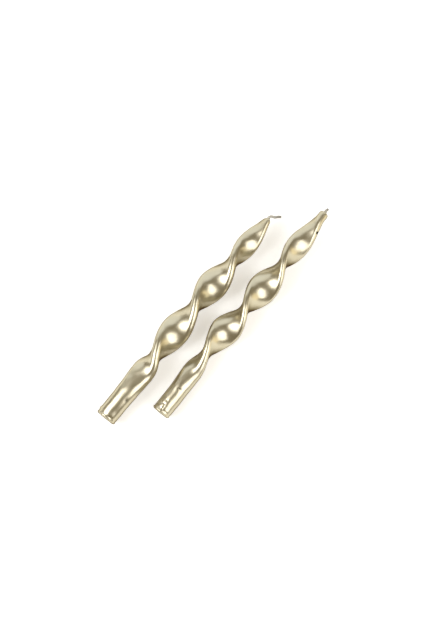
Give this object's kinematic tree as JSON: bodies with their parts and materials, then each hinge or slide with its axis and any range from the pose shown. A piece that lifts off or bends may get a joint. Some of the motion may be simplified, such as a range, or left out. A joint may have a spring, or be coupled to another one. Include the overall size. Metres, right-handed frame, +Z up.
{
  "type": "spiral taper candles",
  "caption": "Spiral taper candles lying side by side, each with a round plug base and a flattened, twisted body that closes to a blunt tip, a gold metallic finish and a wick.",
  "frame": {"origin": "On the table that the candles lie on, under the middle of the box round both of them.", "axes": "+X runs along the candles from base to tip, +Y goes across the table to the left candle, +Z is up."},
  "size_m": [0.3046, 0.0712, 0.0321],
  "materials": {
    "gold_wax": "gloss",
    "wick": "matte"
  },
  "bodies": {
    "root": {"left_wax_body": "gold_wax", "left_wick": "wick", "right_wax_body": "gold_wax", "right_wick": "wick"}
  },
  "joints": []
}
